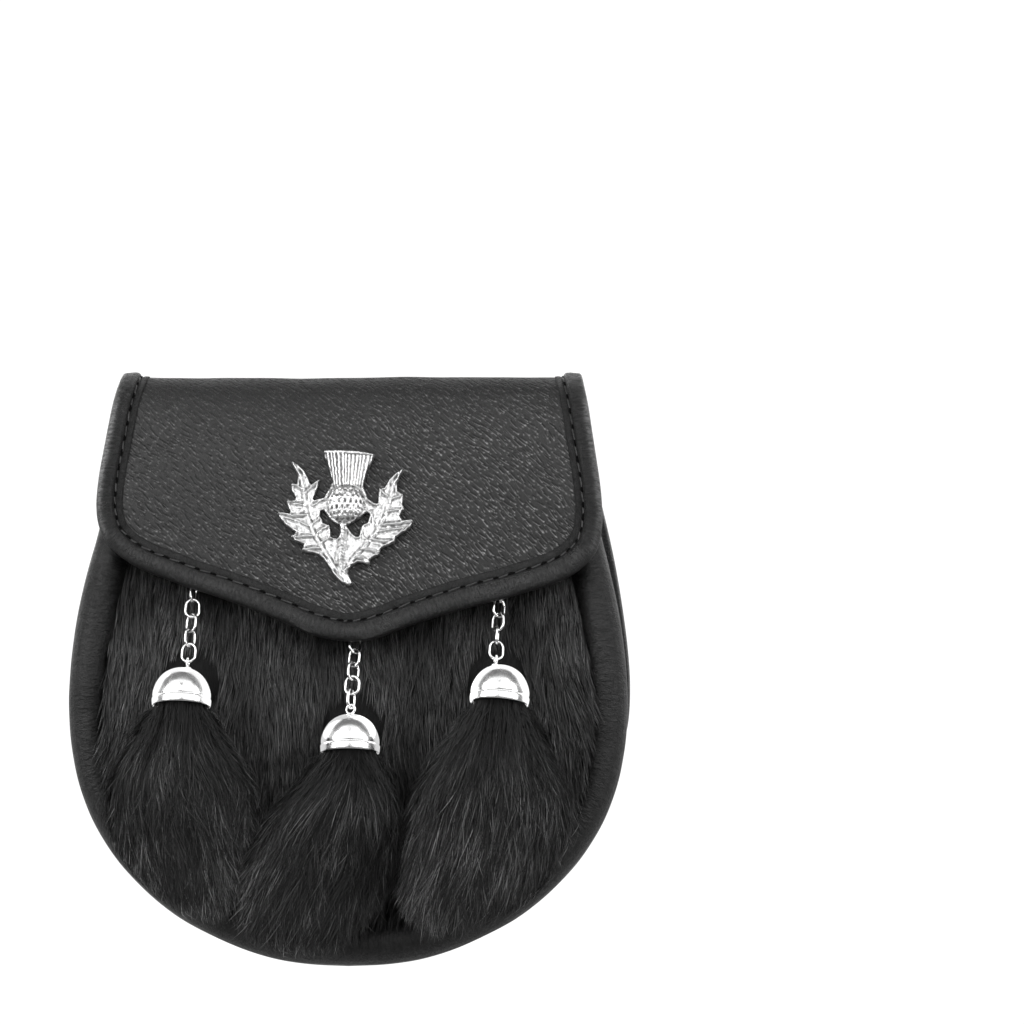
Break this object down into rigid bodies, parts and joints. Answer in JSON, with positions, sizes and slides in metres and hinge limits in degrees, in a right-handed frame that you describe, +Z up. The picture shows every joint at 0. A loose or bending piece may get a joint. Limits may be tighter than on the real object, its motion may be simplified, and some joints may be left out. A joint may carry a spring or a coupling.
{
  "type": "sporran pouch",
  "caption": "Round-bottomed leather belt pouch with a fur front, a bound flap with a thistle ornament, fur tassels on short chains, and a belt loop with side rings behind.",
  "frame": {"origin": "middle of the belt-loop tunnel on the back, where the strap that carries the pouch passes", "axes": "+Z up, -Y out of the front (badge and fur side), +X to the right as seen from the front"},
  "size_m": [0.19, 0.0836, 0.2008],
  "materials": {
    "grained_leather": "black pebble-grained leather, semi-matt with fine bright creases",
    "smooth_leather": "smooth black leather with fine cross wrinkles and a soft sheen",
    "black_fur": "short and long black rabbit-like fur, glossy strands in soft clumps",
    "cast_silver": "cast bright metal with darkened recesses",
    "polished_metal": "mirror-polished chrome",
    "plain_steel": "plain nickelled steel"
  },
  "bodies": {
    "root": {"back_and_flap": "grained_leather", "bell_centre": "polished_metal", "bell_left": "polished_metal", "bell_right": "polished_metal", "belt_loop": "grained_leather", "chain_anchor_centre": "plain_steel", "chain_anchor_left": "plain_steel", "chain_anchor_right": "plain_steel", "edge_binding": "smooth_leather", "flap_stud": "plain_steel", "fur_panel": "black_fur", "gusset": "smooth_leather", "link_centre_1": "polished_metal", "link_centre_2": "polished_metal", "link_centre_3": "polished_metal", "link_centre_4": "polished_metal", "link_centre_5": "polished_metal", "link_centre_6": "polished_metal", "link_left_1": "polished_metal", "link_left_2": "polished_metal", "link_left_3": "polished_metal", "link_left_4": "polished_metal", "link_left_5": "polished_metal", "link_left_6": "polished_metal", "link_right_1": "polished_metal", "link_right_2": "polished_metal", "link_right_3": "polished_metal", "link_right_4": "polished_metal", "link_right_5": "polished_metal", "link_right_6": "polished_metal", "ring_left": "polished_metal", "ring_right": "polished_metal", "ring_tab": "smooth_leather", "tassel_centre": "black_fur", "tassel_left": "black_fur", "tassel_right": "black_fur", "thistle_badge": "cast_silver"}
  },
  "joints": []
}
